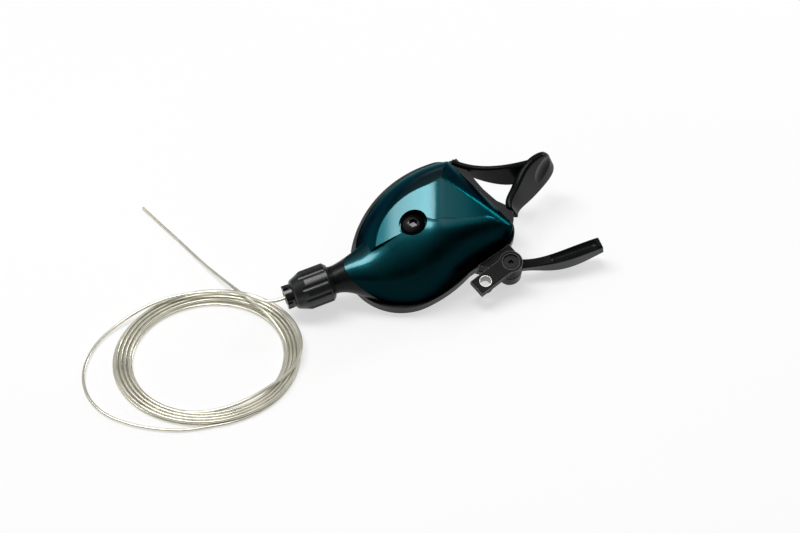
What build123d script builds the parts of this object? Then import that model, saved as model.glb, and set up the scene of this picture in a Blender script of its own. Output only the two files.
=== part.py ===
from build123d import *
import os
from math import asin, atan2, cos, degrees, hypot, radians, sin, sqrt, tan

# A trigger gear shifter for a bicycle handlebar, in millimetres. It is modelled upright, with the main
# axle along Z, the housing's underside at Z = 0 and the cable adjuster pointing to -X. Each piece is then
# laid on the table as the shifter comes to rest there, tipped towards its near side and its nose.
LIE_ROLL = 22.0
LIE_PITCH = 9.0
LIE_PLACE = (-7.56, 0.87, 10.24)

# Plan of the cover's rim, taken round from the nose along the near side
RIM_NOSE_NEAR = (-25.5, -9.0)
RIM_NEAR_LEFT = (-17.5, -19.6)
RIM_NEAR = (-4.3, -23.2)
RIM_NEAR_BEND = (6.0, -21.4)
RIM_BRACKET = (15.0, -17.9)
RIM_CORNER_NEAR = (33.0, -13.4)
RIM_CORNER = (35.8, -10.8)
RIM_END_NEAR = (37.2, -5.2)
RIM_END_FAR = (27.5, 21.4)
RIM_FAR_CORNER = (25.2, 25.2)
RIM_FAR = (20.4, 27.6)
RIM_FAR_MID = (-0.2, 24.4)
RIM_NOSE_FAR = (-21.8, 5.6)

# Faces of the cover: heading of a straight face in plan, or the centre that a curved one turns about, then
# how far out and how high its two edges are, and the radius that it bulges to
ROOF_LEFT = (152.0, (-7.0, 26.6), (13.3, 19.9), 140.0)
ROOF_RIGHT = (-18.0, (7.3, 26.6), (28.2, 19.4), 90.0)
FLANK_FAR = ((16.7, -16.8), (32.2, 23.4), (44.5, 5.4), 42.0)
GROOVE_WALL = (-97.4, (2.9, 22.4), (9.5, 5.4), 300.0)
FLANK_END = (20.0, (25.0, 20.8), (33.4, 5.4), 38.0)
COVER_FACES = (ROOF_LEFT, ROOF_RIGHT, FLANK_FAR, FLANK_END, GROOVE_WALL)
ROUNDED_CREASES = (
    (ROOF_LEFT, ROOF_RIGHT, 16.0),
    (ROOF_RIGHT, FLANK_END, 4.5),
    (ROOF_LEFT, FLANK_FAR, 1.2),
)

# Walls of the two housing halves
COVER_WALL = 1.6
FLOOR = 2.0
SPLIT_HEIGHT = 5.4
SPLIT_FOOT = -19.0
SPLIT_TOP = (-29.6, 16.8)
SEAM = 0.2
TRAY_STEP = 1.0
TRAY_ROUND = 1.0
CAVITY_LEFT = -21.0
FACE_TOLERANCE = 0.01

# Nose and cable adjuster, on an axis along X
ADJUSTER_Y = -4.1
ADJUSTER_Z = 10.0
NOSE_END = -34.2
NOSE_RADIUS = 5.3

# Spine of the cover, which swells from the nose into the near side: where along X, then the middle, half
# width and half height of each section
SPINE = (
    (-29.5, (-4.5, 9.6), 6.1, 6.1),
    (-24.0, (-5.4, 8.3), 8.8, 8.8),
    (-14.0, (-5.6, 5.2), 15.2, 14.6),
    (4.0, (-3.6, 5.2), 18.6, 21.0),
    (12.0, (-4.6, 5.2), 14.8, 20.2),
    (20.0, (-5.7, 5.2), 11.2, 17.5),
    (29.0, (-6.9, 5.2), 7.9, 13.5),
    (36.2, (-8.2, 5.2), 3.2, 6.3),
)
SPINE_WALL = 1.2
NECK_JOIN = -15.0
SPIGOT_RADIUS = 4.7
SPIGOT_LENGTH = 6.0
RUNNING_GAP = 0.05
THREAD_GAP = 0.02
SCREW_END_GAP = 1.0
KNOB_LENGTH = 14.9
KNOB_GAP = 0.4
KNOB_RADIUS = 7.4
KNOB_TIP_RADIUS = 5.6
KNOB_NOSE_LENGTH = 5.0
KNOB_FLUTES = 10
FLUTE_RADIUS = 1.7
FLUTE_DEPTH = 0.75
BARREL_RADIUS = 3.5
BARREL_FLAT = 3.0
BARREL_INSIDE = 10.0
TIP_RADIUS = 4.5
TIP_LENGTH = 2.9
TIP_SLOTS = 10
TIP_SLOT_WIDTH = 1.1
TIP_SLOT_DEPTH = 0.7
SOCKET_RADIUS = 2.55
SOCKET_DEPTH = 8.0
CABLE_BORE = 1.0
BARREL_CLEAR = 0.3
KNOB_CHAMFER = 1.2
FLUTE_STOP = 1.6
CABLE_BEND_X = -18.5
CABLE_BEND_RADIUS = 10.0
GUIDE_PLACES = ((-18.6, -4.4), (-15.4, -5.4))
GUIDE_RADII = (2.3, 2.2)
GUIDE_RISE = 1.8
CLIP_WIRE = 0.8
CLIP_SET_BACK = 3.0
CLIP_MOUTH = 3.0

# Axle and what turns on it
AXLE_RADIUS = 4.0
AXLE_FOOT = -5.7
AXLE_THREAD_RADIUS = 3.0
AXLE_THREAD_FOOT = -9.1
NUT_SET_BACK = 0.3
NUT_RADIUS = 5.4
AXLE_HEAD_RADIUS = 3.2
AXLE_TAP_DEPTH = 8.0
PLATE_TOP = 16.1
PLATE_THICK = 1.0
AXLE_TOP = 18.6
PLATE_EYE = 5.0
PLATE_POST_EYE = 2.8
POST_RADIUS = 2.4
POST_PLACES = ((-11.6, -10.6), (23.5, -6.5))
POST_SCREW_RADIUS = 1.2
POST_SCREW_LENGTH = 7.0
POST_HEAD_RADIUS = 2.2
POST_HEAD_THICK = 0.8
SCREW_HEAD_RADIUS = 4.6
SCREW_HEAD_RISE = 2.8
SCREW_RIM = 0.9
SCREW_SHANK_RADIUS = 2.45
SCREW_SEAT = 20.8
SCREW_HEX = 3.0
SCREW_HEX_DEPTH = 1.9
SCREW_RECESS_RADIUS = 5.2
BOSS_RADIUS = 6.6

# Cable spool with its ratchet
SPOOL_BOTTOM = 6.0
RATCHET_TOP = 8.4
SPOOL_TOP = 12.2
TOOTH_COUNT = 24
TOOTH_TIP = 12.6
TOOTH_ROOT = 11.0
SPOOL_FLANGE = 11.6
GROOVE_ROOT = 9.3
GROOVE_WIDTH = 1.7
HEAD_RADIUS = 1.7
HEAD_STEP = 16.0
SPRING_BOTTOM = 12.7
SPRING_HEIGHT = 2.2
SPRING_STRIP = 0.5
SPRING_PITCH = 1.5
SPRING_TURNS = 3

# Pawls, both alike and each carried by a pin at the same distance from the axle
PAWL_PIVOT = 16.8
PAWL_EYE = 2.1
PAWL_PIN = 1.3
PAWL_TIP_OUT = 13.65
PAWL_TIP = 0.7
PAWL_KNEE_OUT = 15.3
PAWL_KNEE = 0.95
PAWL_LEAD = 34.0
PAWL_THICK = 2.2
PULL_PAWL_AT = 20.0
HOLD_PAWL_STEPS = 8
HORN_REACH = (11.4, -13.4)
PAWL_LIFT = 0.3
LEAF_GAP = 0.5
LEAF_THICK = 0.5
LEAF_FOOT = 0.8
LEAF_ROOT = 5.0
LEAF_SHORT = 8.0

# Pull lever
HUB_RADIUS = 11.0
HUB_TOP = -0.6
HUB_BOTTOM = -4.0
SLEEVE_RADIUS = 6.8
SLEEVE_TOP = 5.6
BUSH_RADIUS = 5.0
BUSH_FLANGE = 6.4
BUSH_FLANGE_THICK = 0.8
CARRIER_BOTTOM = 4.3
CARRIER_TOP = 5.5
RETURN_SPRING_WIRE = 1.1
RETURN_MOUTH = 70.0
RETURN_LEG = 3.0
RETURN_TURN = 200.0
SLEEVE_GAP = 0.3
BLADE_FLAT = 0.3
ARM_PLAN = (
    (4.0, -3.0), (40.5, -3.0), (42.6, 1.5), (37.8, 7.0), (35.0, 13.5), (32.2, 24.0), (30.6, 29.6), (27.4, 29.6),
    (0.0, 9.5),
)
NEAR_LEG = (
    ((40.6, 2.4, 0.6), (42.8, -0.8, -4.4), (0.6, 0.8, 0.0), 2.8),
    ((43.6, 7.4, 0.6), (47.6, 4.4, -9.0), (0.7, 0.71, -0.1), 3.0),
    ((48.2, 11.6, 0.4), (53.6, 8.4, -13.4), (0.78, 0.62, -0.05), 3.2),
    ((55.0, 16.8, 1.0), (60.6, 13.0, -16.8), (0.82, 0.57, -0.05), 3.2),
    ((61.2, 18.8, 0.4), (65.6, 16.4, -17.2), (0.86, 0.5, -0.05), 3.0),
    ((64.8, 20.2, -4.0), (67.4, 18.6, -13.6), (0.86, 0.5, -0.05), 2.4),
)
FAR_BLADE = (
    ((28.4, 28.8, 0.8), (28.8, 28.4, -4.0), (0.8, -0.6, 0.0), 2.0),
    ((37.2, 22.0, 1.0), (38.0, 20.8, -8.0), (0.9, -0.43, 0.0), 2.0),
    ((44.0, 19.2, 1.5), (44.0, 17.2, -9.4), (0.96, -0.26, 0.0), 2.0),
    ((55.6, 17.4, 1.0), (51.4, 14.6, -9.0), (0.98, -0.15, 0.0), 2.2),
)
CUP_MIDDLE = (59.4, 14.8, -8.2)
CUP_OUT = (0.55, -0.76, 0.34)
CUP_RADIUS = 15.0
CUP_DEPTH = 1.3

# Bracket for the handlebar clamp, with the release lever's pivot in its rounded end
BRACKET_HOLE = (18.7, -25.3)
PIVOT_HOLE = (30.6, -21.7)
BRACKET_TOP = 8.0
BRACKET_BOTTOM = 2.0
BRACKET_PLATE = 2.4
BRACKET_HALF = 3.4
BRACKET_END = 4.5
THREAD_BOSS_RADIUS = 3.0
THREAD_LENGTH = 5.0
PIVOT_BOSS_RADIUS = 4.4
WEB_TOP = 6.6
WEB_START = 4.0
WEB_END = 18.4
MOUNT_THREAD_RADIUS = 2.1
PIVOT_RADIUS = 2.45
PIVOT_HEAD_RADIUS = 3.1
PIVOT_HEAD_SEAT = 5.8
PIVOT_HEAD_THICK = 1.3
PIVOT_FOOT = -6.05
PIVOT_FLANGE_THICK = 1.35
PIVOT_FLANGE_RADIUS = 3.6
BRACKET_SCREW_PLACES = (7.0, 14.5)
BRACKET_SCREW_RADIUS = 1.0
BRACKET_SCREW_HEAD = 1.5
BRACKET_SCREW_HEAD_THICK = 1.1
BRACKET_SCREW_LENGTH = 6.0
BRACKET_SCREW_HEIGHT = 3.7

# Release lever
EYE_RADIUS = 4.6
EYE_TOP = 1.6
EYE_BOTTOM = -3.6
FINGER_TOP = -0.6
FINGER_WIDTH = 4.2
PEG_PLACE = (11.5, -8.2)
PEG_SWUNG = (9.1, -12.5)
PEG_RADIUS = 1.1
PEG_TOP = 8.2
PEG_CLEAR = 0.7
RELEASE_WIRE = 0.8
RELEASE_LEG = 2.0
RELEASE_TURN = 150.0
RELEASE_ARM = (
    ((33.5, -20.6, 1.2), (33.7, -20.4, -3.4), (0.98, -0.2, 0.0), 4.4),
    ((43.5, -23.4, 1.0), (43.8, -22.9, -5.8), (0.98, -0.18, 0.0), 3.6),
    ((52.0, -24.3, 1.2), (52.3, -23.8, -8.9), (0.99, -0.08, 0.0), 4.6),
    ((60.0, -24.5, 1.3), (60.5, -24.1, -8.3), (1.0, 0.0, 0.0), 4.9),
    ((66.8, -24.5, 1.0), (67.6, -24.7, -4.8), (1.0, 0.0, 0.0), 4.8),
)
RELEASE_FLAT = 2.7
SCOOP_START = (48.5, -24.0)
SCOOP_END = (63.5, -24.5)
SCOOP_RADIUS = 3.0
SCOOP_DEPTH = 0.9

# Steel inner cable: its route on the table, as laid
CABLE_RADIUS = 0.6
COIL_CENTRE = (-93.7, -16.8)
COIL_RADIUS = 30.3
COIL_WIDTH = 6.0
COIL_HEIGHT = 3.0
LEAD_STRAIGHT = 5.5
LEAD_ROUTE = (
    (-70.6, -2.4, 9.0),
    (-74.4, 2.8, 8.0),
    (-79.0, 7.4, 6.4),
    (-85.4, 11.0, 5.2),
    (-93.2, 13.2, 4.7),
    (-101.6, 13.8, 4.4),
    (-110.6, 13.0, 3.2),
    (-119.6, 10.2, 1.6),
    (-128.0, 5.4, 0.9),
    (-134.6, -2.2, 0.8),
    (-138.6, -11.4, 0.8),
    (-139.0, -21.4, 0.8),
    (-135.6, -31.0, 0.8),
    (-129.0, -38.4, 0.9),
    (-120.6, -43.8, 1.0),
    (-111.4, -47.2, 1.2),
    (-102.2, -48.4, 1.5),
)
TAIL_ROUTE = (
    (-63.5, -17.7, 2.0),
    (-66.3, -9.7, 3.6),
    (-70.1, -1.5, 4.6),
    (-74.3, 7.5, 4.5),
    (-78.3, 18.3, 3.2),
    (-82.5, 31.3, 1.4),
    (-87.3, 46.7, 0.8),
    (-92.1, 60.3, 0.7),
    (-95.9, 71.3, 0.7),
)

LIE = Pos(*LIE_PLACE) * Rot(0, -LIE_PITCH, 0) * Rot(LIE_ROLL, 0, 0)
ADJUSTER_AXIS = Plane(origin=(0, ADJUSTER_Y, ADJUSTER_Z), x_dir=(0, 1, 0), z_dir=(1, 0, 0))
TALL = 60.0


def polar(radius, angle):
    """Plan point at a distance and heading from the axle."""
    return (radius * cos(radians(angle)), radius * sin(radians(angle)))


def toward(start, end):
    """Unit step in plan from one point to another."""
    span = hypot(end[0] - start[0], end[1] - start[1])
    return ((end[0] - start[0]) / span, (end[1] - start[1]) / span)


def disc(radius, bottom, top, place=(0, 0)):
    """Upright round block between two heights."""
    return Pos(place[0], place[1], bottom) * extrude(Circle(radius), top - bottom)


def slab(face, bottom, top):
    """Upright block of a plan shape between two heights."""
    return Pos(0, 0, bottom) * extrude(face, top - bottom)


def tube(outer, inner, bottom, top, place=(0, 0)):
    """Upright round block with a round hole through it."""
    return disc(outer, bottom, top, place) - disc(inner, bottom - 1, top + 1, place)


def rod_x(radius, start, end):
    """Round bar on the adjuster's axis, between two places along X."""
    return ADJUSTER_AXIS.offset(start) * extrude(Circle(radius), end - start)


def link(places, radii):
    """Plan shape that joins round ends at several places."""
    ends = [Pos(*place) * Circle(radius) for place, radius in zip(places, radii)]
    return make_hull([edge for end in ends for edge in end.edges()])


def rim_plan(grow=0.0):
    """Plan of the cover's rim, grown outwards by a distance."""
    line = Line(RIM_NOSE_FAR, RIM_NOSE_NEAR)
    line += ThreePointArc(RIM_NOSE_NEAR, RIM_NEAR_LEFT, RIM_NEAR)
    line += ThreePointArc(RIM_NEAR, RIM_NEAR_BEND, RIM_BRACKET)
    line += Line(RIM_BRACKET, RIM_CORNER_NEAR)
    line += ThreePointArc(RIM_CORNER_NEAR, RIM_CORNER, RIM_END_NEAR)
    line += Line(RIM_END_NEAR, RIM_END_FAR)
    line += ThreePointArc(RIM_END_FAR, RIM_FAR_CORNER, RIM_FAR)
    line += ThreePointArc(RIM_FAR, RIM_FAR_MID, RIM_NOSE_FAR)
    plan = make_face(line)
    return offset(plan, grow) if grow else plan


def block_axis(face):
    """How far out and how high the axis of a bulged face's block lies."""
    upper, lower, radius = face[1:]
    run = lower[0] - upper[0]
    fall = upper[1] - lower[1]
    chord = hypot(run, fall)
    back = sqrt(radius**2 - chord**2 / 4)
    return ((upper[0] + lower[0]) / 2 - back * fall / chord, (upper[1] + lower[1]) / 2 - back * run / chord)


def is_turned(face):
    """Whether a face turns about an upright line, instead of running straight."""
    return isinstance(face[0], tuple)


def bulged_block(face, inset=0.0):
    """Block whose side is one bulged face of the cover, moved in by an inset."""
    axis_out, axis_high = block_axis(face)
    radius = face[3] - inset
    if is_turned(face):
        upright = Plane(origin=(*face[0], 0), x_dir=(1, 0, 0), z_dir=(0, -1, 0))
        section = (Pos(axis_out, axis_high) * Circle(radius)) & (Pos(2 * TALL, 0) * Rectangle(4 * TALL, 4 * TALL))
        return revolve(upright * section, Axis((*face[0], 0), (0, 0, 1)))
    out = Vector(*polar(1, face[0]), 0)
    centre = out * axis_out + Vector(0, 0, axis_high)
    return Plane(origin=centre, z_dir=out.cross(Vector(0, 0, 1))) * Cylinder(radius, 8 * TALL)


def cover_dome(inset=0.0):
    """Faceted dome of the cover, from its faces and its rim, moved in by an inset."""
    dome = slab(rim_plan(-inset), 0, TALL)
    for face in COVER_FACES:
        dome &= bulged_block(face, inset)
    return dome


def spine(inset=0.0):
    """Body that swells from the nose into the cover's near side, moved in by an inset."""
    neck = (NOSE_END, (ADJUSTER_Y, ADJUSTER_Z), NOSE_RADIUS, NOSE_RADIUS)
    sections = []
    for along, middle, half_width, half_height in (neck, *SPINE):
        place = Plane(origin=(along, *middle), x_dir=(0, 1, 0), z_dir=(1, 0, 0))
        sections.append(place * Ellipse(half_width - inset, half_height - inset))
    return loft(sections)


def above_split(lift=0.0):
    """Block over the parting line, which climbs to the top of the nose."""
    foot = (SPLIT_FOOT, SPLIT_HEIGHT + lift)
    top = (SPLIT_TOP[0] + lift, SPLIT_TOP[1])
    profile = make_face(Polyline((TALL, foot[1]), foot, top, (top[0], TALL), (TALL, TALL), close=True))
    return Plane.XZ.offset(-TALL) * extrude(profile, 2 * TALL)


def barrel_plan(grow):
    """Section of the barrel, round with one flat that stops it turning."""
    flat = Pos(-TALL / 2 + BARREL_FLAT + grow, 0) * Rectangle(TALL, TALL)
    return Circle(BARREL_RADIUS + grow) & flat


def barrel_hole(start, end):
    """Space for the barrel between two places along X."""
    return ADJUSTER_AXIS.offset(start) * extrude(barrel_plan(RUNNING_GAP), end - start)


def on_face(point, face):
    """Whether a point lies on one of the cover's bulged faces."""
    axis_out, axis_high = block_axis(face)
    if is_turned(face):
        reach = hypot(point.X - face[0][0], point.Y - face[0][1])
    else:
        reach = point.dot(Vector(*polar(1, face[0]), 0))
    return abs(hypot(reach - axis_out, point.Z - axis_high) - face[3]) < FACE_TOLERANCE


def crease(dome, first, second):
    """Edges of the dome where two of its faces meet."""
    middles = [(edge, edge.position_at(0.5)) for edge in dome.edges()]
    return [edge for edge, middle in middles if on_face(middle, first) and on_face(middle, second)]


def round_roof(dome):
    """Dome with its ridge and end brow rounded and its far crease kept crisp."""
    for first, second, radius in ROUNDED_CREASES:
        dome = fillet(crease(dome, first, second), radius)
    return dome


def cavity():
    """Space inside the two housing halves."""
    room = cover_dome(COVER_WALL) + (spine(SPINE_WALL) & slab(rim_plan(-COVER_WALL), 0, TALL))
    return room & (Pos(CAVITY_LEFT + TALL, 0, FLOOR + TALL) * Box(2 * TALL, 2 * TALL, 2 * TALL))


def adjuster_bores():
    """Holes along the adjuster's axis through the nose, for the barrel and the cable."""
    barrel_end = NOSE_END + BARREL_INSIDE + BARREL_CLEAR
    return barrel_hole(NOSE_END - SPIGOT_LENGTH - 1, barrel_end) + rod_x(CABLE_BORE, barrel_end - 1, CAVITY_LEFT + 1)


def top_cover():
    shell = (round_roof(cover_dome()) + spine()) & above_split(SEAM)
    shell -= cavity()
    boss = disc(BOSS_RADIUS, AXLE_TOP, TALL) & (cover_dome(COVER_WALL / 2) + spine(COVER_WALL / 2))
    shell += boss
    shell -= disc(SCREW_SHANK_RADIUS + RUNNING_GAP, 0, TALL)
    shell -= disc(SCREW_RECESS_RADIUS, SCREW_SEAT, TALL)
    return shell - adjuster_bores()


def lower_housing():
    tray = slab(rim_plan(TRAY_STEP), 0, SPLIT_HEIGHT)
    tray = fillet(tray.faces().sort_by(Axis.Z)[0].edges(), TRAY_ROUND)
    nose = spine() & (Pos(NECK_JOIN - 2 * TALL, 0, TALL) * Box(4 * TALL, 4 * TALL, 2 * TALL))
    tray += nose - above_split()
    tray += rod_x(SPIGOT_RADIUS, NOSE_END - SPIGOT_LENGTH, NOSE_END)
    tray -= cavity()
    for place in POST_PLACES:
        tray += disc(POST_RADIUS, FLOOR, PLATE_TOP - PLATE_THICK, place)
        tray -= disc(POST_SCREW_RADIUS + THREAD_GAP, PLATE_TOP - POST_SCREW_LENGTH, TALL, place)
    tray += disc(PAWL_EYE, FLOOR, SPOOL_BOTTOM, hold_pivot())
    tray -= disc(PAWL_PIN + THREAD_GAP, FLOOR / 2, TALL, hold_pivot())
    tray -= disc(SLEEVE_RADIUS + SLEEVE_GAP, -1, FLOOR + 1)
    tray -= slab(link((PEG_PLACE, PEG_SWUNG), (PEG_RADIUS + PEG_CLEAR,) * 2), -1, FLOOR + 1)
    for screw_axis in bracket_screw_axes():
        tray -= screw_axis * Cylinder(BRACKET_SCREW_RADIUS + RUNNING_GAP, 4 * COVER_WALL + 4 * TRAY_STEP)
    tray -= clip_groove(SPIGOT_RADIUS + CLIP_WIRE) - clip_groove(clip_inner() - RUNNING_GAP)
    return tray - adjuster_bores()


def cover_screw():
    dome_radius = (SCREW_HEAD_RADIUS**2 + SCREW_HEAD_RISE**2) / (2 * SCREW_HEAD_RISE)
    ball = Pos(0, 0, SCREW_SEAT + SCREW_RIM + SCREW_HEAD_RISE - dome_radius) * Sphere(dome_radius)
    head = disc(SCREW_HEAD_RADIUS, SCREW_SEAT, TALL) & ball
    screw = head + disc(SCREW_SHANK_RADIUS, AXLE_TOP - AXLE_TAP_DEPTH + SCREW_END_GAP, SCREW_SEAT)
    socket = Pos(0, 0, SCREW_SEAT + SCREW_RIM + SCREW_HEAD_RISE - SCREW_HEX_DEPTH)
    return screw - socket * extrude(RegularPolygon(SCREW_HEX / 2, 6, major_radius=False), TALL)


def main_axle():
    axle = disc(AXLE_RADIUS, AXLE_FOOT, PLATE_TOP - PLATE_THICK)
    axle += disc(AXLE_THREAD_RADIUS, AXLE_THREAD_FOOT, AXLE_FOOT)
    axle += disc(AXLE_HEAD_RADIUS, PLATE_TOP - PLATE_THICK, AXLE_TOP)
    return axle - disc(SCREW_SHANK_RADIUS + THREAD_GAP, AXLE_TOP - AXLE_TAP_DEPTH, TALL)


def axle_washer():
    bottom = AXLE_FOOT
    top = HUB_BOTTOM - BUSH_FLANGE_THICK - RUNNING_GAP
    return tube(BUSH_FLANGE, AXLE_RADIUS + RUNNING_GAP, bottom, top)


def axle_nut():
    nut = slab(RegularPolygon(NUT_RADIUS, 6), AXLE_THREAD_FOOT + NUT_SET_BACK, AXLE_FOOT)
    return nut - disc(AXLE_THREAD_RADIUS + THREAD_GAP, AXLE_THREAD_FOOT - 1, AXLE_FOOT + 1)


def top_plate():
    """Plate that ties the top of the axle to the two posts."""
    plate = disc(PLATE_EYE, PLATE_TOP - PLATE_THICK, PLATE_TOP)
    for place in POST_PLACES:
        plate += slab(link(((0, 0), place), (PLATE_EYE, PLATE_POST_EYE)), PLATE_TOP - PLATE_THICK, PLATE_TOP)
    for place in POST_PLACES:
        plate -= disc(POST_SCREW_RADIUS + RUNNING_GAP, 0, TALL, place)
    return plate - disc(AXLE_HEAD_RADIUS + THREAD_GAP, 0, TALL)


def plate_screws():
    screws = []
    for place in POST_PLACES:
        shank = disc(POST_SCREW_RADIUS, PLATE_TOP - POST_SCREW_LENGTH + SCREW_END_GAP, PLATE_TOP, place)
        head = disc(POST_HEAD_RADIUS, PLATE_TOP, PLATE_TOP + POST_HEAD_THICK, place)
        socket = slab(Pos(*place) * RegularPolygon(POST_SCREW_RADIUS, 6), PLATE_TOP + POST_HEAD_THICK / 3, TALL)
        screws.append(shank + head - socket)
    return Compound(screws)


def ratchet_plan():
    """Saw teeth that turn the spool one way, with the steep side of each facing clockwise."""
    pitch = 360 / TOOTH_COUNT
    points = []
    for tooth in range(TOOTH_COUNT):
        points.append(polar(TOOTH_ROOT, tooth * pitch))
        points.append(polar(TOOTH_TIP, tooth * pitch + pitch / 12))
    return make_face(Polyline(*points, close=True))


def head_place():
    """Where the cable's head sits in the spool, just past the point where the cable meets it."""
    reach = GROOVE_ROOT + HEAD_RADIUS / 5
    return polar(reach, cable_meets_spool()[1] + HEAD_STEP)


def spool():
    body = slab(ratchet_plan(), SPOOL_BOTTOM, RATCHET_TOP) + disc(SPOOL_FLANGE, RATCHET_TOP, SPOOL_TOP)
    groove = tube(SPOOL_FLANGE + 1, GROOVE_ROOT, ADJUSTER_Z - GROOVE_WIDTH / 2, ADJUSTER_Z + GROOVE_WIDTH / 2)
    body -= groove
    body -= disc(HEAD_RADIUS + RUNNING_GAP, RATCHET_TOP, TALL, head_place())
    return body - disc(AXLE_RADIUS + RUNNING_GAP, 0, TALL)


def cable_head():
    return disc(HEAD_RADIUS, RATCHET_TOP, SPOOL_TOP - RUNNING_GAP, head_place())


def spool_spring():
    """Flat spiral spring that winds the spool back, hooked on the axle."""
    inner = AXLE_RADIUS + SPRING_STRIP / 2 + 2 * RUNNING_GAP
    line = Curve()
    for turn in range(SPRING_TURNS):
        radius = inner + turn * SPRING_PITCH
        line += CenterArc((0, 0), radius, 0, 180)
        line += CenterArc((SPRING_PITCH / 2, 0), radius + SPRING_PITCH / 2, 180, 180)
    return slab(trace(line, SPRING_STRIP), SPRING_BOTTOM, SPRING_BOTTOM + SPRING_HEIGHT)


def pawl_plan(angle):
    """Plan of a pawl whose pivot lies at a heading from the axle."""
    knee = polar(PAWL_KNEE_OUT, angle + PAWL_LEAD)
    tip = polar(PAWL_TIP_OUT, angle + PAWL_LEAD)
    arm = link((polar(PAWL_PIVOT, angle), knee), (PAWL_EYE, PAWL_KNEE))
    return arm + link((knee, tip), (PAWL_KNEE, PAWL_TIP))


def hold_angle():
    return PULL_PAWL_AT - HOLD_PAWL_STEPS * 360 / TOOTH_COUNT


def hold_pivot():
    return polar(PAWL_PIVOT, hold_angle())


def pawl_from(plan, pivot):
    body = slab(plan, SPOOL_BOTTOM + PAWL_LIFT / 3, SPOOL_BOTTOM + PAWL_LIFT / 3 + PAWL_THICK)
    return body - disc(PAWL_PIN + RUNNING_GAP, 0, TALL, pivot)


def pull_pawl():
    return pawl_from(pawl_plan(PULL_PAWL_AT), polar(PAWL_PIVOT, PULL_PAWL_AT))


def hold_pawl():
    tip = polar(PAWL_TIP_OUT, hold_angle() + PAWL_LEAD)
    horn = link((tip, HORN_REACH), (PAWL_TIP, PAWL_TIP))
    return pawl_from(pawl_plan(hold_angle()) + horn, hold_pivot())


def pawl_pin(pivot, bottom):
    top = SPOOL_BOTTOM + PAWL_LIFT + PAWL_THICK
    return disc(PAWL_PIN, bottom, top, pivot) + disc(PAWL_EYE - 0.3, top, top + 0.8, pivot)


def pull_pawl_pin():
    return pawl_pin(polar(PAWL_PIVOT, PULL_PAWL_AT), CARRIER_BOTTOM)


def hold_pawl_pin():
    return pawl_pin(hold_pivot(), FLOOR / 2)


def pawl_leaf(angle, bottom):
    """Leaf spring behind a pawl: a stiff root beside the pivot and a free end along the pawl's back."""
    reach = PAWL_PIVOT + PAWL_EYE + LEAF_GAP
    root = polar(reach, angle - LEAF_ROOT)
    bend = polar(reach, angle + LEAF_ROOT)
    end = polar(PAWL_KNEE_OUT + PAWL_KNEE + LEAF_GAP, angle + PAWL_LEAD - LEAF_SHORT)
    top = SPOOL_BOTTOM + PAWL_THICK - PAWL_LIFT
    leaf = slab(trace(Polyline(root, bend, end), LEAF_THICK), SPOOL_BOTTOM + PAWL_LIFT, top)
    return leaf + disc(LEAF_FOOT, bottom, top, root)


def pull_pawl_spring():
    return pawl_leaf(PULL_PAWL_AT, CARRIER_TOP)


def hold_pawl_spring():
    return pawl_leaf(hold_angle(), FLOOR)


def pawl_carrier():
    pivot = polar(PAWL_PIVOT, PULL_PAWL_AT)
    plate = slab(link(((0, 0), pivot), (SLEEVE_RADIUS + 1.8, PAWL_EYE + LEAF_GAP + 1.4)), CARRIER_BOTTOM, CARRIER_TOP)
    plate -= extrude(RegularPolygon(SLEEVE_RADIUS + THREAD_GAP, 6), TALL)
    return plate - disc(PAWL_PIN + THREAD_GAP, 0, TALL, pivot)


def ring_spring(radius, wire, bottom, mouth, leg, place=(0, 0), turn=0.0):
    """Open ring spring with a leg at each end."""
    start = turn + mouth / 2
    centre = Vector(*place)
    line = CenterArc(centre, radius, start, 360 - mouth)
    for angle in (start, start + 360 - mouth):
        line += Line(centre + Vector(*polar(radius, angle)), centre + Vector(*polar(radius + leg, angle)))
    return slab(trace(line, wire), bottom, bottom + wire)


def pull_lever_spring():
    radius = SLEEVE_RADIUS + SLEEVE_GAP + RETURN_SPRING_WIRE / 2
    return ring_spring(radius, RETURN_SPRING_WIRE, FLOOR + SEAM, RETURN_MOUTH, RETURN_LEG, turn=RETURN_TURN)


def release_lever_spring():
    radius = PIVOT_RADIUS + RELEASE_WIRE / 2 + 2 * RUNNING_GAP
    bottom = PIVOT_FOOT + PIVOT_FLANGE_THICK + RUNNING_GAP
    return ring_spring(radius, RELEASE_WIRE, bottom, RETURN_MOUTH, RELEASE_LEG, PIVOT_HOLE, RELEASE_TURN)


def blade(sections, flat):
    """Lever blade lofted through sections, each from its upper edge to its lower, flat only so far across."""
    faces = []
    for upper, lower, heading, thick in sections:
        rise = Vector(*upper) - Vector(*lower)
        along = Vector(*heading)
        along = along - rise * (along.dot(rise) / rise.dot(rise))
        plane = Plane(origin=(Vector(*upper) + Vector(*lower)) * 0.5, x_dir=rise, z_dir=along)
        faces.append(plane * RectangleRounded(rise.length, thick, (thick - flat) / 2))
    return loft(faces)


def thumb_cup():
    """Ball that hollows the face that the thumb pushes."""
    thick = NEAR_LEG[3][3]
    centre = Vector(*CUP_MIDDLE) + Vector(*CUP_OUT).normalized() * (thick / 2 + CUP_RADIUS - CUP_DEPTH)
    return Pos(*centre) * Sphere(CUP_RADIUS)


def pull_lever():
    lever = disc(HUB_RADIUS, HUB_BOTTOM, HUB_TOP)
    lever += slab(make_face(Polyline(*ARM_PLAN, close=True)), HUB_BOTTOM, HUB_TOP)
    lever += disc(SLEEVE_RADIUS, HUB_TOP, CARRIER_BOTTOM)
    lever += slab(RegularPolygon(SLEEVE_RADIUS, 6), CARRIER_BOTTOM, SLEEVE_TOP)
    lever += blade(NEAR_LEG, BLADE_FLAT)
    lever += blade(FAR_BLADE, BLADE_FLAT)
    lever -= thumb_cup()
    return lever - disc(BUSH_RADIUS, -TALL, TALL)


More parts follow.
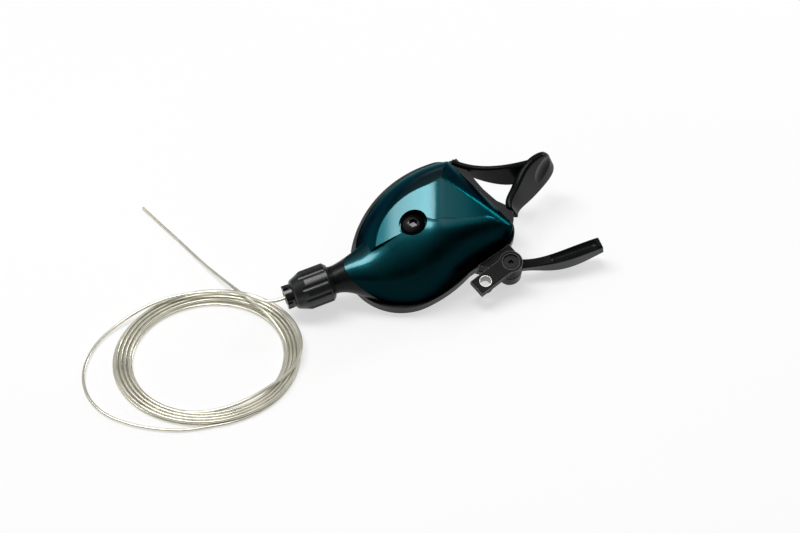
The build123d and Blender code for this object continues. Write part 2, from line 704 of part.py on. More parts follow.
def pull_lever_bush():
    bush = disc(BUSH_RADIUS, HUB_BOTTOM, SLEEVE_TOP) + disc(BUSH_FLANGE, HUB_BOTTOM - BUSH_FLANGE_THICK, HUB_BOTTOM)
    return bush - disc(AXLE_RADIUS + RUNNING_GAP, -TALL, TALL)


def wall_point(along, out):
    """Point beside the straight near wall: a distance along it and a distance out of the rim."""
    step = toward(RIM_BRACKET, RIM_CORNER_NEAR)
    return (RIM_BRACKET[0] + step[0] * along + step[1] * out, RIM_BRACKET[1] + step[1] * along - step[0] * out)


def bracket_screw_axes():
    """Axes of the bracket's screws, each at the outer face of the near wall and pointing out of it."""
    out = toward(wall_point(0, 0), wall_point(0, 1))
    axes = []
    for along in BRACKET_SCREW_PLACES:
        place = wall_point(along, TRAY_STEP)
        axes.append(Plane(origin=(*place, BRACKET_SCREW_HEIGHT), z_dir=(*out, 0)))
    return axes


def mount_bracket():
    """Bracket with a threaded hole in a thin plate, and a web and boss that carry the release lever."""
    spacing = hypot(PIVOT_HOLE[0] - BRACKET_HOLE[0], PIVOT_HOLE[1] - BRACKET_HOLE[1])
    length = spacing + BRACKET_END
    bar_plane = Plane(origin=(*PIVOT_HOLE, 0), x_dir=(*toward(BRACKET_HOLE, PIVOT_HOLE), 0), z_dir=(0, 0, 1))
    bar = bar_plane * Pos(-length / 2, 0) * Rectangle(length, 2 * BRACKET_HALF)
    body = slab(bar, BRACKET_TOP - BRACKET_PLATE, BRACKET_TOP)
    body += disc(THREAD_BOSS_RADIUS, BRACKET_TOP - THREAD_LENGTH, BRACKET_TOP, BRACKET_HOLE)
    body += disc(PIVOT_BOSS_RADIUS, BRACKET_BOTTOM, BRACKET_TOP, PIVOT_HOLE)
    boss_edge = (Pos(*PIVOT_HOLE) * Circle(PIVOT_BOSS_RADIUS)).edges()
    foot = Line(wall_point(WEB_START, TRAY_STEP), wall_point(WEB_END, TRAY_STEP))
    body += slab(make_hull([*boss_edge, foot]), BRACKET_BOTTOM, WEB_TOP)
    body -= disc(MOUNT_THREAD_RADIUS, -TALL, TALL, BRACKET_HOLE)
    body -= disc(PIVOT_RADIUS + THREAD_GAP, -TALL, TALL, PIVOT_HOLE)
    body -= disc(PIVOT_HEAD_RADIUS + 2 * RUNNING_GAP, PIVOT_HEAD_SEAT, TALL, PIVOT_HOLE)
    for screw_axis in bracket_screw_axes():
        body -= screw_axis * Cylinder(BRACKET_SCREW_RADIUS + THREAD_GAP, 2 * BRACKET_SCREW_LENGTH)
    return body


def bracket_screws():
    wall = COVER_WALL + TRAY_STEP
    screws = []
    for screw_axis in bracket_screw_axes():
        seat = screw_axis.offset(-wall)
        screw = seat * extrude(Circle(BRACKET_SCREW_RADIUS), BRACKET_SCREW_LENGTH)
        head = seat.offset(-BRACKET_SCREW_HEAD_THICK) * extrude(Circle(BRACKET_SCREW_HEAD), BRACKET_SCREW_HEAD_THICK)
        screws.append(screw + head)
    return Compound(screws)


def release_lever_pin():
    pin = disc(PIVOT_RADIUS, PIVOT_FOOT, PIVOT_HEAD_SEAT, PIVOT_HOLE)
    pin += disc(PIVOT_HEAD_RADIUS, PIVOT_HEAD_SEAT, PIVOT_HEAD_SEAT + PIVOT_HEAD_THICK, PIVOT_HOLE)
    pin += disc(PIVOT_FLANGE_RADIUS, PIVOT_FOOT, PIVOT_FOOT + PIVOT_FLANGE_THICK, PIVOT_HOLE)
    socket = Pos(*PIVOT_HOLE, PIVOT_HEAD_SEAT) * extrude(RegularPolygon(PIVOT_RADIUS / 2, 6), TALL)
    return pin - socket


def finger_scoop():
    """Long round bar that hollows the top of the release lever."""
    height = RELEASE_ARM[2][0][2] + SCOOP_RADIUS - SCOOP_DEPTH
    start = Vector(*SCOOP_START, height)
    end = Vector(*SCOOP_END, height)
    bar = Plane(origin=start, z_dir=end - start) * extrude(Circle(SCOOP_RADIUS), (end - start).length)
    return bar + Pos(*start) * Sphere(SCOOP_RADIUS) + Pos(*end) * Sphere(SCOOP_RADIUS)


def release_lever():
    lever = disc(EYE_RADIUS, EYE_BOTTOM, EYE_TOP, PIVOT_HOLE)
    lever += slab(link((PIVOT_HOLE, PEG_PLACE), (EYE_RADIUS - 1, FINGER_WIDTH / 2)), EYE_BOTTOM, FINGER_TOP)
    lever += disc(PEG_RADIUS, EYE_BOTTOM, PEG_TOP, PEG_PLACE)
    lever += blade(RELEASE_ARM, RELEASE_FLAT)
    lever -= finger_scoop()
    return lever - disc(PIVOT_RADIUS + RUNNING_GAP, -TALL, TALL, PIVOT_HOLE)


def knob_start():
    return NOSE_END - KNOB_GAP


def knob_end():
    return knob_start() - KNOB_LENGTH


def clip_inner():
    return SPIGOT_RADIUS - CLIP_WIRE / 2


def adjuster_knob():
    """Fluted knob that turns on the nose's spigot."""
    shoulder = knob_end() + KNOB_NOSE_LENGTH
    profile = Polyline(
        (knob_start(), 0),
        (knob_start(), KNOB_RADIUS - KNOB_CHAMFER),
        (knob_start() - KNOB_CHAMFER, KNOB_RADIUS),
        (shoulder, KNOB_RADIUS),
        (knob_end() + KNOB_CHAMFER / 2, KNOB_TIP_RADIUS),
        (knob_end(), KNOB_TIP_RADIUS - KNOB_CHAMFER / 2),
        (knob_end(), 0),
        close=True,
    )
    knob = Pos(0, ADJUSTER_Y, ADJUSTER_Z) * revolve(make_face(profile), Axis.X)
    start = ADJUSTER_AXIS.offset(knob_end() - 1)
    for flute in range(KNOB_FLUTES):
        place = polar(KNOB_RADIUS + FLUTE_RADIUS - FLUTE_DEPTH, flute * 360 / KNOB_FLUTES)
        knob -= start * Pos(*place) * extrude(Circle(FLUTE_RADIUS), KNOB_LENGTH + 1 - FLUTE_STOP)
    knob -= rod_x(SPIGOT_RADIUS + RUNNING_GAP, NOSE_END - SPIGOT_LENGTH - KNOB_GAP, NOSE_END)
    knob -= clip_groove(SPIGOT_RADIUS + CLIP_WIRE / 2 + RUNNING_GAP)
    return knob - rod_x(BARREL_RADIUS + RUNNING_GAP, knob_end() - 1, NOSE_END)


def clip_groove(radius):
    """Space for the knob's clip out to a radius."""
    middle = NOSE_END - CLIP_SET_BACK
    half = CLIP_WIRE / 2 + RUNNING_GAP
    return rod_x(radius, middle - half, middle + half)


def knob_clip():
    """Open ring that holds the knob on the spigot."""
    start = NOSE_END - CLIP_SET_BACK - CLIP_WIRE / 2
    ring = rod_x(SPIGOT_RADIUS + CLIP_WIRE / 2, start, start + CLIP_WIRE)
    ring -= rod_x(clip_inner(), start - 1, start + CLIP_WIRE + 1)
    mouth = ADJUSTER_AXIS.offset(start - 1) * Pos(0, TALL / 2) * extrude(Rectangle(CLIP_MOUTH, TALL), CLIP_WIRE + 2)
    return ring - mouth


def tip_start():
    return knob_end() - KNOB_GAP / 2


def tip_end():
    return tip_start() - TIP_LENGTH


def adjuster_barrel():
    """Barrel that the knob screws in and out, with a slotted tip for the cable's housing."""
    inside_end = NOSE_END + BARREL_INSIDE
    barrel = ADJUSTER_AXIS.offset(tip_start()) * extrude(barrel_plan(0), inside_end - tip_start())
    barrel += rod_x(TIP_RADIUS, tip_end(), tip_start())
    for slot in range(TIP_SLOTS):
        cutter = Pos(TIP_RADIUS, 0) * Rectangle(2 * TIP_SLOT_DEPTH, TIP_SLOT_WIDTH)
        turned = Rot(0, 0, slot * 360 / TIP_SLOTS) * cutter
        barrel -= ADJUSTER_AXIS.offset(tip_end() - 1) * extrude(turned, TIP_LENGTH)
    barrel -= rod_x(SOCKET_RADIUS, tip_end() - 1, tip_end() + SOCKET_DEPTH)
    return barrel - rod_x(CABLE_BORE, tip_end(), inside_end + 1)


def cable_meets_spool():
    """Tangent point of the cable on the spool, and its heading from the axle."""
    reach = GROOVE_ROOT + CABLE_RADIUS + 2 * RUNNING_GAP
    span = hypot(CABLE_BEND_X, ADJUSTER_Y)
    heading = degrees(atan2(-ADJUSTER_Y, -CABLE_BEND_X) - asin(reach / span))
    run = sqrt(span**2 - reach**2)
    step = polar(run, heading)
    point = (CABLE_BEND_X + step[0], ADJUSTER_Y + step[1])
    return point, degrees(atan2(point[1], point[0]))


def inner_path():
    """Line of the cable from the barrel's tip to the spool."""
    point = cable_meets_spool()[0]
    start = (tip_end(), ADJUSTER_Y, ADJUSTER_Z)
    bend = (CABLE_BEND_X, ADJUSTER_Y, ADJUSTER_Z)
    return FilletPolyline(start, bend, (*point, ADJUSTER_Z), radius=CABLE_BEND_RADIUS)


def cable_run():
    path = inner_path()
    return sweep(Plane(origin=path @ 0, z_dir=path % 0) * Circle(CABLE_RADIUS), path=path)


def cable_guide():
    """Block on the floor that turns the cable towards the spool."""
    block = slab(link(GUIDE_PLACES, GUIDE_RADII), FLOOR, ADJUSTER_Z + GUIDE_RISE)
    path = inner_path()
    return block - sweep(Plane(origin=path @ 0, z_dir=path % 0) * Circle(CABLE_BORE), path=path)


def corner_radii(points):
    """Radius of the arc at each corner of a route, as large as its two runs allow."""
    radii = []
    for before, here, after in zip(points, points[1:], points[2:]):
        arriving = Vector(*here) - Vector(*before)
        leaving = Vector(*after) - Vector(*here)
        shorter = min(arriving.length, leaving.length)
        radii.append(0.45 * shorter / tan(radians(arriving.get_angle(leaving) / 2)))
    return radii


def cord_tube(name, points):
    """Tube along straight runs joined by arcs."""
    radii = corner_radii(points)
    print(name, "arc radii", [round(radius, 1) for radius in radii])
    path = FilletPolyline(*points, radius=radii)
    body = sweep(Plane(origin=path @ 0, z_dir=path % 0) * Circle(CABLE_RADIUS), path=path)
    print(name, "length", round(path.length, 1), "volume ratio", round(body.volume / (Circle(CABLE_RADIUS).area * path.length), 4))
    return body


def lead_points():
    """Route of the loose lead: straight out of the barrel's tip, then the hand-chosen points."""
    exit_place = (LIE * Pos(tip_end(), ADJUSTER_Y, ADJUSTER_Z)).position
    straight = (LIE * Pos(tip_end() - LEAD_STRAIGHT, ADJUSTER_Y, ADJUSTER_Z)).position
    return (tuple(exit_place), tuple(straight)) + LEAD_ROUTE


def cable_coil():
    """Outer shape of the coiled turns, lying on the table."""
    section = Pos(COIL_RADIUS, COIL_HEIGHT / 2) * RectangleRounded(COIL_WIDTH, COIL_HEIGHT, COIL_HEIGHT * 0.4)
    return Pos(*COIL_CENTRE, 0) * revolve(Plane.XZ * section, Axis.Z)


UPRIGHT = (
    top_cover, lower_housing, cover_screw, main_axle, axle_washer, axle_nut, top_plate, plate_screws, spool,
    cable_head, spool_spring, pull_pawl, pull_pawl_pin, pull_pawl_spring, hold_pawl, hold_pawl_pin,
    hold_pawl_spring, pawl_carrier, pull_lever_spring, pull_lever, pull_lever_bush, mount_bracket,
    bracket_screws, release_lever_pin, release_lever, release_lever_spring, adjuster_knob, knob_clip,
    adjuster_barrel, cable_run, cable_guide,
)

os.makedirs("parts", exist_ok=True)
for make in UPRIGHT:
    export_step(LIE * make(), f"parts/{make.__name__}.step")
export_step(cord_tube("cable_lead", lead_points()), "parts/cable_lead.step")
export_step(cord_tube("cable_tail", TAIL_ROUTE), "parts/cable_tail.step")
export_step(cable_coil(), "parts/cable_coil.step")
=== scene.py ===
import math

import bpy
from mathutils import Matrix, Vector


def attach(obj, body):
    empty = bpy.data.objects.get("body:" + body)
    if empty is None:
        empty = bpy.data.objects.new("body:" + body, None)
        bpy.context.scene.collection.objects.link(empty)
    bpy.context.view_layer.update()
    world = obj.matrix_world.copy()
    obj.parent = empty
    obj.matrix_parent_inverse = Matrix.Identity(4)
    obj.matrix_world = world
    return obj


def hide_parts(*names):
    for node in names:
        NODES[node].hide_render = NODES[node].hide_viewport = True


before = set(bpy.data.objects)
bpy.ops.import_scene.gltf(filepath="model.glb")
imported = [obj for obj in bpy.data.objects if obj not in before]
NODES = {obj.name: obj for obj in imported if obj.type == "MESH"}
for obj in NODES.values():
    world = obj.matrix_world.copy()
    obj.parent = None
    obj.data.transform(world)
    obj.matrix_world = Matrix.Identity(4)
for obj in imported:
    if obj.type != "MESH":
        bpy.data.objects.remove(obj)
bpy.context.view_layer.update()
MM = 0.001


# Camera, at the photograph's place and angle
IMAGE_WIDTH = 800
FOCAL_PIXELS = 1612
SENSOR_MM = 36.0
CAMERA_PLACE = (-170.16, -420.23, 422.44)
CAMERA_LOOKS = (0.2561, 0.6851, -0.6820)


def add_camera():
    data = bpy.data.cameras.new("photo_camera")
    data.sensor_fit = "HORIZONTAL"
    data.sensor_width = SENSOR_MM
    data.lens = FOCAL_PIXELS * SENSOR_MM / IMAGE_WIDTH
    data.clip_start = 0.01
    camera = bpy.data.objects.new("photo_camera", data)
    camera.location = Vector(CAMERA_PLACE) * MM
    camera.rotation_euler = Vector(CAMERA_LOOKS).to_track_quat("-Z", "Y").to_euler()
    bpy.context.scene.collection.objects.link(camera)
    bpy.context.scene.camera = camera


# Materials, all made of nodes. Noise mostly stays between these two values
NOISE_LOW = 0.3
NOISE_HIGH = 0.7
# Sockets of a mix node that hold its two colours and its result
MIX_FIRST = 6
MIX_SECOND = 7
MIX_RESULT = 2
# How alike the true and the rounded normal are, from where an edge starts to show to where it shows fully
EDGE_STARTS = 0.99
EDGE_FULL = 0.85


class Shader:
    """One material with its main shader and short ways to add nodes to it."""

    def __init__(self, name):
        self.material = bpy.data.materials.new(name)
        self.material.use_nodes = True
        self.tree = self.material.node_tree
        self.main = self.tree.nodes["Principled BSDF"]

    def node(self, kind, **inputs):
        made = self.tree.nodes.new(kind)
        for name, value in inputs.items():
            made.inputs[name.replace("_", " ")].default_value = value
        return made

    def link(self, start, end):
        self.tree.links.new(start, end)

    def set(self, **values):
        for name, value in values.items():
            self.main.inputs[name.replace("_", " ")].default_value = value

    def noise(self, scale, detail):
        """Noise in the object's own space, with a scale in ripples a millimetre."""
        place = self.tree.nodes.new("ShaderNodeTexCoord")
        turn = self.node("ShaderNodeMapping", Scale=(1 / MM, 1 / MM, 1 / MM))
        made = self.node("ShaderNodeTexNoise", Scale=scale, Detail=detail)
        self.link(place.outputs["Object"], turn.inputs["Vector"])
        self.link(turn.outputs["Vector"], made.inputs["Vector"])
        return made.outputs["Fac"]

    def ramp(self, source, stops):
        """Colours or greys by the value of a source."""
        made = self.tree.nodes.new("ShaderNodeValToRGB")
        band = made.color_ramp
        while len(band.elements) < len(stops):
            band.elements.new(0.5)
        for element, (place, colour) in zip(band.elements, stops):
            element.position = place
            element.color = (*colour, 1.0)
        self.link(source, made.inputs["Fac"])
        return made.outputs["Color"]

    def spread(self, source, start, end, low=0.0, high=1.0):
        """Number that goes from low to high while a source goes from start to end."""
        made = self.node("ShaderNodeMapRange", From_Min=start, From_Max=end, To_Min=low, To_Max=high)
        self.link(source, made.inputs["Value"])
        return made.outputs["Result"]

    def grey(self, noise, low, high):
        """Number between two limits by the value of a noise."""
        return self.spread(noise, NOISE_LOW, NOISE_HIGH, low, high)

    def math(self, operation, first, second=0.0):
        """Result of an operation on a source and a second source or number."""
        made = self.tree.nodes.new("ShaderNodeMath")
        made.operation = operation
        self.link(first, made.inputs[0])
        if isinstance(second, float):
            made.inputs[1].default_value = second
        else:
            self.link(second, made.inputs[1])
        return made.outputs["Value"]

    def vector(self, operation, first, second=(0.0, 0.0, 0.0), output="Vector"):
        """Result of a vector operation on a source and a second source or fixed vector."""
        made = self.tree.nodes.new("ShaderNodeVectorMath")
        made.operation = operation
        self.link(first, made.inputs[0])
        if isinstance(second, tuple):
            made.inputs[1].default_value = second
        else:
            self.link(second, made.inputs[1])
        return made.outputs[output]

    def mixed(self, amount, first, second):
        """Colour between two colours, each a source or fixed, by a source from 0 to 1."""
        made = self.tree.nodes.new("ShaderNodeMix")
        made.data_type = "RGBA"
        self.link(amount, made.inputs["Factor"])
        for place, colour in ((MIX_FIRST, first), (MIX_SECOND, second)):
            if isinstance(colour, tuple):
                made.inputs[place].default_value = (*colour, 1.0)
            else:
                self.link(colour, made.inputs[place])
        return made.outputs[MIX_RESULT]

    def edges(self, radius):
        """Number from 0 on smooth faces to 1 on sharp edges, within a radius in millimetres."""
        soft = self.node("ShaderNodeBevel", Radius=radius * MM)
        plain = self.tree.nodes.new("ShaderNodeNewGeometry")
        alike = self.vector("DOT_PRODUCT", soft.outputs["Normal"], plain.outputs["Normal"], "Value")
        return self.spread(alike, EDGE_STARTS, EDGE_FULL)

    def bump(self, source, height):
        """Small relief by the value of a source, with its height in millimetres."""
        made = self.node("ShaderNodeBump", Strength=1.0, Distance=height * MM)
        self.link(source, made.inputs["Height"])
        self.link(made.outputs["Normal"], self.main.inputs["Normal"])


def shade(colour, factor):
    return tuple(c * factor for c in colour)


SLOW_SCALE = 0.12
SLOW_DETAIL = 3.0
FINE_DETAIL = 5.0
EDGE_LEAST_WEAR_AND_HIGHLIGHT = 0.35


def finish(name, colour, metallic, rough, grain, relief, vary=0.2, rough_vary=0.05, edge=None, **more):
    """Material with a fine grain, slow changes of colour and gloss, and paler edges where it has them, which
    are partly wear and partly a painted highlight along the edges.

    The grain is in ripples a millimetre and the relief in millimetres. An edge is its width in millimetres
    and its colour.
    """
    made = Shader(name)
    made.set(Metallic=metallic, **more)
    slow = made.noise(SLOW_SCALE, SLOW_DETAIL)
    fine = made.noise(grain, FINE_DETAIL)
    tint = made.ramp(slow, ((NOISE_LOW, shade(colour, 1 - vary)), (NOISE_HIGH, shade(colour, 1 + vary))))
    # Pale edges: partly wear, partly a painted highlight where edges catch the light
    if edge:
        width, worn_and_lit_colour = edge
        wear_and_highlight = made.math("MULTIPLY", made.edges(width), made.grey(fine, EDGE_LEAST_WEAR_AND_HIGHLIGHT, 1.0))
        tint = made.mixed(wear_and_highlight, tint, worn_and_lit_colour)
    made.link(tint, made.main.inputs["Base Color"])
    made.link(made.grey(slow, rough - rough_vary, rough + rough_vary), made.main.inputs["Roughness"])
    made.bump(fine, relief)
    return made


# Cover paint, with painted shade: its colour darkens to a near-black on the steep sides, and its coat, which
# whitens highlights, is thickest on the roof. COVER_UP is the way its roof faces, and the limits are the
# cosines of the angle from it
COVER_UP = (-0.157, -0.079, 0.985)
COVER_TOP = (0.004, 0.066, 0.08)
COVER_SIDE_SHADE = (0.0008, 0.011, 0.0135)
COVER_SHEEN = (0.03, 0.31, 0.325, 1.0)
COVER_SHADE_FADE = (0.42, 0.82)
COAT_FADE = (0.85, 0.97)
COAT_LEAST = 0.01
COAT_MOST = 0.65
COAT_ROUGHNESS = 0.12


def cover_paint():
    """Metallic teal paint with painted shade: bright on the roof, where a coat also whitens the highlights, and
    darkened on the steep sides by how they face.
    """
    made = finish(
        "cover_teal", COVER_TOP, metallic=1.0, rough=0.3, grain=9.0, relief=0.0015, vary=0.08, rough_vary=0.04
    )
    made.set(Specular_Tint=COVER_SHEEN, Coat_Roughness=COAT_ROUGHNESS)
    facing = made.tree.nodes.new("ShaderNodeTexCoord").outputs["Normal"]
    rise = made.vector("DOT_PRODUCT", facing, COVER_UP, "Value")
    tint = made.main.inputs["Base Color"].links[0].from_socket
    # Painted shade: the colour darkens on faces that turn away from the roof
    shaded_tint = made.mixed(made.spread(rise, *COVER_SHADE_FADE), COVER_SIDE_SHADE, tint)
    made.link(shaded_tint, made.main.inputs["Base Color"])
    # Painted highlight: the coat grows on faces that turn up, to whiten their highlights
    made.link(made.spread(rise, *COAT_FADE, COAT_LEAST, COAT_MOST), made.main.inputs["Coat Weight"])
    return made


# Threaded hole of the bracket, in millimetres
HOLE_PLACE = (11.595, -24.648, 8.841)
HOLE_AXIS = (-0.145, -0.3746, 0.9158)
HOLE_RADIUS = 2.1
HOLE_RIM_INNER = 0.12
HOLE_RIM_OUTER = 0.22
THREAD_PITCH = 0.8
# Thread drawn in colour: dark bands are painted shade in its grooves, pale bands painted highlight on its
# crests
THREAD_GROOVE_SHADE = (0.2, (0.1, 0.1, 0.095))
THREAD_CREST_HIGHLIGHT = (0.8, (0.6, 0.6, 0.58))


def bracket_metal():
    """Dark bracket with pale edges, partly wear and partly painted highlight, and bare cut metal in its
    threaded hole, banded with painted shade in the thread's grooves and painted highlight on its crests.
    """
    made = finish(
        "bracket_grey", (0.006, 0.0065, 0.0065), metallic=0.0, rough=0.44, grain=6.0, relief=0.006,
        edge=(0.45, (0.34, 0.35, 0.35)), Specular_IOR_Level=0.08,
    )
    place = made.tree.nodes.new("ShaderNodeTexCoord").outputs["Object"]
    reach = made.vector("SUBTRACT", place, tuple(k * MM for k in HOLE_PLACE))
    along = made.vector("DOT_PRODUCT", reach, HOLE_AXIS, "Value")
    aside = made.vector("LENGTH", made.vector("CROSS_PRODUCT", reach, HOLE_AXIS), output="Value")
    bare = made.spread(aside, (HOLE_RADIUS + HOLE_RIM_OUTER) * MM, (HOLE_RADIUS + HOLE_RIM_INNER) * MM)
    wave = made.math("SINE", made.math("MULTIPLY", along, 2 * math.pi / (THREAD_PITCH * MM)))
    thread_shading = made.ramp(made.spread(wave, -1.0, 1.0), (THREAD_GROOVE_SHADE, THREAD_CREST_HIGHLIGHT))
    tint = made.main.inputs["Base Color"].links[0].from_socket
    made.link(made.mixed(bare, tint, thread_shading), made.main.inputs["Base Color"])
    made.link(bare, made.main.inputs["Metallic"])
    return made


def plain_metals():
    """Bare metals, mostly inside."""
    return {
        "steel": finish("steel", (0.5, 0.5, 0.49), metallic=1.0, rough=0.3, grain=6.0, relief=0.003),
        "spring": finish("spring_steel", (0.38, 0.38, 0.38), metallic=1.0, rough=0.35, grain=6.0, relief=0.003),
        "spool": finish("spool_grey", (0.28, 0.28, 0.29), metallic=0.9, rough=0.4, grain=4.0, relief=0.006),
        "bush": finish("bush_bronze", (0.45, 0.31, 0.15), metallic=1.0, rough=0.35, grain=4.0, relief=0.004),
        "cable": finish(
            "cable_steel", (0.8, 0.775, 0.66), metallic=0.82, rough=0.32, grain=4.0, relief=0.01, vary=0.1
        ),
    }


def plain_blacks():
    """Black plastics and blackened screws."""
    return {
        "housing": finish(
            "housing_black", (0.004, 0.0045, 0.005), metallic=0.0, rough=0.32, grain=5.0, relief=0.008,
            Specular_IOR_Level=0.14,
        ),
        "screw": finish(
            "screw_black", (0.004, 0.004, 0.0045), metallic=0.0, rough=0.17, grain=4.0, relief=0.004
        ),
        # The pin's and lever's paler edges are partly wear and partly a painted highlight
        "pin": finish(
            "pin_black", (0.005, 0.005, 0.0055), metallic=0.0, rough=0.4, grain=4.0, relief=0.004,
            edge=(0.3, (0.12, 0.12, 0.12)), Specular_IOR_Level=0.15,
        ),
        "lever": finish(
            "lever_black", (0.004, 0.0045, 0.005), metallic=0.0, rough=0.22, grain=6.0, relief=0.004,
            edge=(0.3, (0.02, 0.021, 0.021)), Specular_IOR_Level=0.09,
        ),
        "knob": finish(
            "knob_black", (0.007, 0.008, 0.008), metallic=0.0, rough=0.33, grain=6.0, relief=0.008,
            Specular_IOR_Level=0.5,
        ),
        "barrel": finish(
            "barrel_black", (0.005, 0.005, 0.0055), metallic=0.0, rough=0.16, grain=6.0, relief=0.002
        ),
    }


def all_materials():
    return {"cover": cover_paint(), "bracket": bracket_metal(), **plain_metals(), **plain_blacks()}


LOOKS = {
    "cover": ["top_cover"],
    "housing": ["lower_housing", "cable_guide"],
    "screw": ["cover_screw"],
    "pin": ["release_lever_pin"],
    "steel": [
        "main_axle", "axle_washer", "axle_nut", "top_plate", "plate_screws", "cable_head", "pull_pawl",
        "pull_pawl_pin", "hold_pawl", "hold_pawl_pin", "pawl_carrier", "bracket_screws",
    ],
    "spring": [
        "spool_spring", "pull_pawl_spring", "hold_pawl_spring", "pull_lever_spring", "release_lever_spring",
        "knob_clip",
    ],
    "spool": ["spool"],
    "bush": ["pull_lever_bush"],
    "lever": ["pull_lever", "release_lever"],
    "bracket": ["mount_bracket"],
    "knob": ["adjuster_knob"],
    "barrel": ["adjuster_barrel"],
    "cable": ["cable_run"],
}


def dress_nodes(materials):
    for look, names in LOOKS.items():
        for name in names:
            for place in NODES[name].material_slots:
                place.material = materials[look].material


# Steel inner cable, in millimetres and degrees, apart from its length in metres: the points of its lead
# and tail as in the part's source, and its coil between them
CABLE_RADIUS = 0.6
COIL_CENTRE = (-93.7, -16.8)
COIL_RADIUS = 30.3
LEAD_ROUTE = (
    (-60.72, -6.68, 9.65),
    (-66.16, -6.68, 8.79),
    (-70.6, -2.4, 9.0),
    (-74.4, 2.8, 8.0),
    (-79.0, 7.4, 6.4),
    (-85.4, 11.0, 5.2),
    (-93.2, 13.2, 4.7),
    (-101.6, 13.8, 4.4),
    (-110.6, 13.0, 3.2),
    (-119.6, 10.2, 1.6),
    (-128.0, 5.4, 0.9),
    (-134.6, -2.2, 0.8),
    (-138.6, -11.4, 0.8),
    (-139.0, -21.4, 0.8),
    (-135.6, -31.0, 0.8),
    (-129.0, -38.4, 0.9),
    (-120.6, -44.2, 0.8),
    (-111.4, -48.4, 0.7),
)
TAIL_ROUTE = (
    (-65.2, -18.3, 2.6),
    (-66.9, -9.7, 3.9),
    (-70.1, -1.5, 4.6),
    (-74.3, 7.5, 4.5),
    (-78.3, 18.3, 3.2),
    (-82.5, 31.3, 1.4),
    (-87.3, 46.7, 0.8),
    (-92.1, 60.3, 0.7),
    (-95.9, 71.3, 0.7),
)
COIL_START = 255.0
COIL_END = 348.0
COIL_TURNS = 9
COIL_STEP = 15.0
STRAND_SPACING = 1.27
LOWER_HEIGHT = 0.65
UPPER_HEIGHT = 1.93
CROSSING_HEIGHT = 3.25
SHIFT_MIDDLE = 318.0
SHIFT_REACH = 26.0
CLIMB_REACH = 60.0
CLIMB_TURN = 5
SLOTS = (3, 2, 1, 0, -1, -2, 2, 1, 0, -1, -2)
UPPER_LEANS = (0.8, -0.6)
SPREAD_MEAN = 1.12
SPREAD_SWING = 0.15
SPREAD_WIDEST = 105.0
SQUEEZE = 0.35


def eased(value):
    value = min(max(value, 0.0), 1.0)
    return value * value * (3 - 2 * value)


def coil_point(angle):
    """Point of the coil at an angle that runs on through all its turns.

    Each turn keeps to a slot beside the last one. All turns change slots over the same short arc: five
    lie side by side on the floor, one crosses over to the outside, and the others lie on top.
    """
    slot = SLOTS[0]
    for turn in range(len(SLOTS) - 1):
        part = eased((angle - SHIFT_MIDDLE - 360 * turn + SHIFT_REACH) / (2 * SHIFT_REACH))
        slot += part * (SLOTS[turn + 1] - SLOTS[turn])
    past = angle - SHIFT_MIDDLE - 360 * CLIMB_TURN
    climb = eased((past + SHIFT_REACH + CLIMB_REACH) / CLIMB_REACH)
    drop = eased((past - SHIFT_REACH) / CLIMB_REACH)
    height = LOWER_HEIGHT + climb * (CROSSING_HEIGHT - LOWER_HEIGHT) - drop * (CROSSING_HEIGHT - UPPER_HEIGHT)
    turned = math.radians(angle)
    spread = SPREAD_MEAN + SPREAD_SWING * math.cos(math.radians(angle - SPREAD_WIDEST))
    reach = COIL_RADIUS + slot * STRAND_SPACING * spread + SQUEEZE * math.cos(2 * turned)
    reach /= math.cos(math.radians(COIL_STEP) / 2)
    return (
        COIL_CENTRE[0] + reach * math.cos(turned) + climb * UPPER_LEANS[0],
        COIL_CENTRE[1] + reach * math.sin(turned) + climb * UPPER_LEANS[1],
        height,
    )


def smooth_curve(name, points, radius, material):
    """Round wire along one smooth line through a route's points."""
    data = bpy.data.curves.new(name, "CURVE")
    data.dimensions = "3D"
    data.bevel_depth = radius * MM
    data.bevel_resolution = 3
    data.use_fill_caps = True
    data.resolution_u = 6
    line = data.splines.new("NURBS")
    line.points.add(len(points) - 1)
    for place, point in zip(line.points, points):
        place.co = (*(Vector(point) * MM), 1.0)
    line.order_u = 3
    line.use_endpoint_u = True
    data.materials.append(material)
    made = bpy.data.objects.new(name, data)
    bpy.context.scene.collection.objects.link(made)
    return made


def add_cable(material):
    count = round((COIL_END - COIL_START + 360 * COIL_TURNS) / COIL_STEP)
    coil = [coil_point(COIL_START + COIL_STEP * k) for k in range(count + 1)]
    cable = smooth_curve("inner_cable", [*LEAD_ROUTE, *coil, *TAIL_ROUTE], CABLE_RADIUS, material)
    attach(cable, "housing")
    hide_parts("cable_lead", "cable_coil", "cable_tail")


# Floor, world and lights, in metres
FLOOR_SIZE = 8.0
FLOOR_WHITES = ((NOISE_LOW, (0.93, 0.93, 0.93)), (NOISE_HIGH, (0.95, 0.95, 0.95)))
FLOOR_RIPPLE = 0.004
FLOOR_DETAIL = 2.0
FLOOR_GLOW = 0.6
SKY_TOWARDS = (-0.3, 0.3, 0.9)
SKY_STOPS = ((0.1, 0.04), (1.0, 0.4))
AIM = Vector((-0.02, 0.0, 0.02))


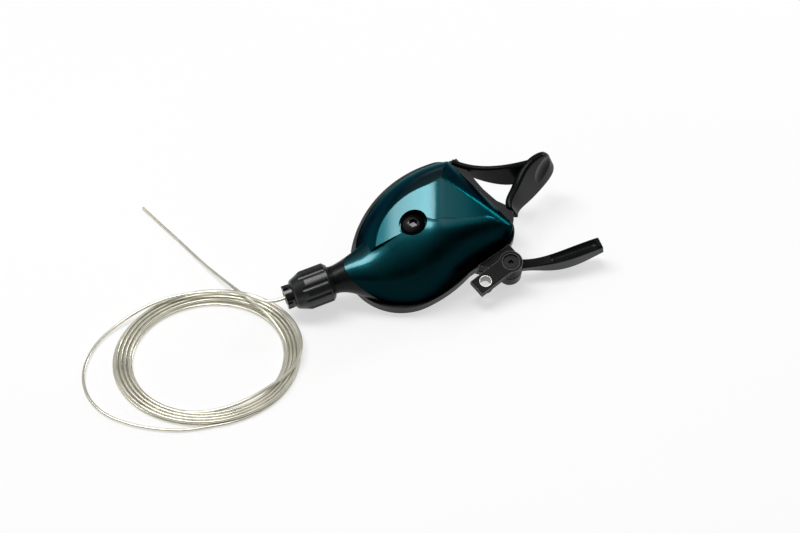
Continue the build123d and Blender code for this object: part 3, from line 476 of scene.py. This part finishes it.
def floor_material():
    """Pale floor. Part of its white is its own, so that the shadow stays light as in the photograph."""
    made = Shader("floor_white")
    made.set(Roughness=0.9, Specular_IOR_Level=0.1)
    slow = made.noise(FLOOR_RIPPLE, FLOOR_DETAIL)
    made.link(made.ramp(slow, FLOOR_WHITES), made.main.inputs["Base Color"])
    rays = made.tree.nodes.new("ShaderNodeLightPath")
    seen = rays.outputs["Is Camera Ray"]
    for name in ("Is Glossy Ray", "Is Transmission Ray"):
        seen = made.math("MAXIMUM", seen, rays.outputs[name])
    glow = made.tree.nodes.new("ShaderNodeEmission")
    mix = made.tree.nodes.new("ShaderNodeMixShader")
    made.link(made.math("MULTIPLY", seen, FLOOR_GLOW), mix.inputs["Fac"])
    made.link(made.main.outputs["BSDF"], mix.inputs[1])
    made.link(glow.outputs["Emission"], mix.inputs[2])
    made.link(mix.outputs["Shader"], made.tree.nodes["Material Output"].inputs["Surface"])
    return made.material


def add_floor():
    half = FLOOR_SIZE / 2
    corners = [(-half, -half, 0), (half, -half, 0), (half, half, 0), (-half, half, 0)]
    data = bpy.data.meshes.new("floor")
    data.from_pydata(corners, [], [(0, 1, 2, 3)])
    data.materials.append(floor_material())
    floor = bpy.data.objects.new("floor", data)
    bpy.context.scene.collection.objects.link(floor)


def add_world():
    """Dark studio that grows paler towards the main light."""
    world = bpy.data.worlds.new("studio")
    bpy.context.scene.world = world
    world.use_nodes = True
    tree = world.node_tree
    place = tree.nodes.new("ShaderNodeTexCoord")
    towards = tree.nodes.new("ShaderNodeVectorMath")
    towards.operation = "DOT_PRODUCT"
    towards.inputs[1].default_value = Vector(SKY_TOWARDS).normalized()
    ramp = tree.nodes.new("ShaderNodeValToRGB")
    for element, (position, level) in zip(ramp.color_ramp.elements, SKY_STOPS):
        element.position = position
        element.color = (level, level, level, 1.0)
    tree.links.new(place.outputs["Generated"], towards.inputs[0])
    tree.links.new(towards.outputs["Value"], ramp.inputs["Fac"])
    tree.links.new(ramp.outputs["Color"], tree.nodes["Background"].inputs["Color"])


def add_light(name, towards, distance, size, power, along=(0.0, 0.0, 1.0)):
    """Rectangular soft light, in metres and watts, that shines from a direction and lies along another."""
    data = bpy.data.lights.new(name, "AREA")
    data.shape = "RECTANGLE"
    data.size, data.size_y = size
    data.energy = power
    back = Vector(towards).normalized()
    across = Vector(along).cross(back).normalized()
    turn = Matrix((across, back.cross(across), back)).transposed()
    light = bpy.data.objects.new(name, data)
    light.location = AIM + back * distance
    light.rotation_euler = turn.to_euler()
    bpy.context.scene.collection.objects.link(light)


def add_lights():
    add_light("long_box", (-0.25, 0.14, 0.95), 1.2, (0.42, 0.95), 11.0, along=(0.43, -0.34, 0.17))
    add_light("fill_box", (0.52, -0.05, 0.86), 1.2, (0.7, 0.6), 1.1)
    add_light("end_strip", (0.88, 0.31, 0.38), 0.9, (0.12, 0.4), 1.8)


bpy.context.scene.view_settings.view_transform = "Standard"
add_camera()
materials = all_materials()
dress_nodes(materials)
add_cable(materials["cable"].material)
add_floor()
add_world()
add_lights()
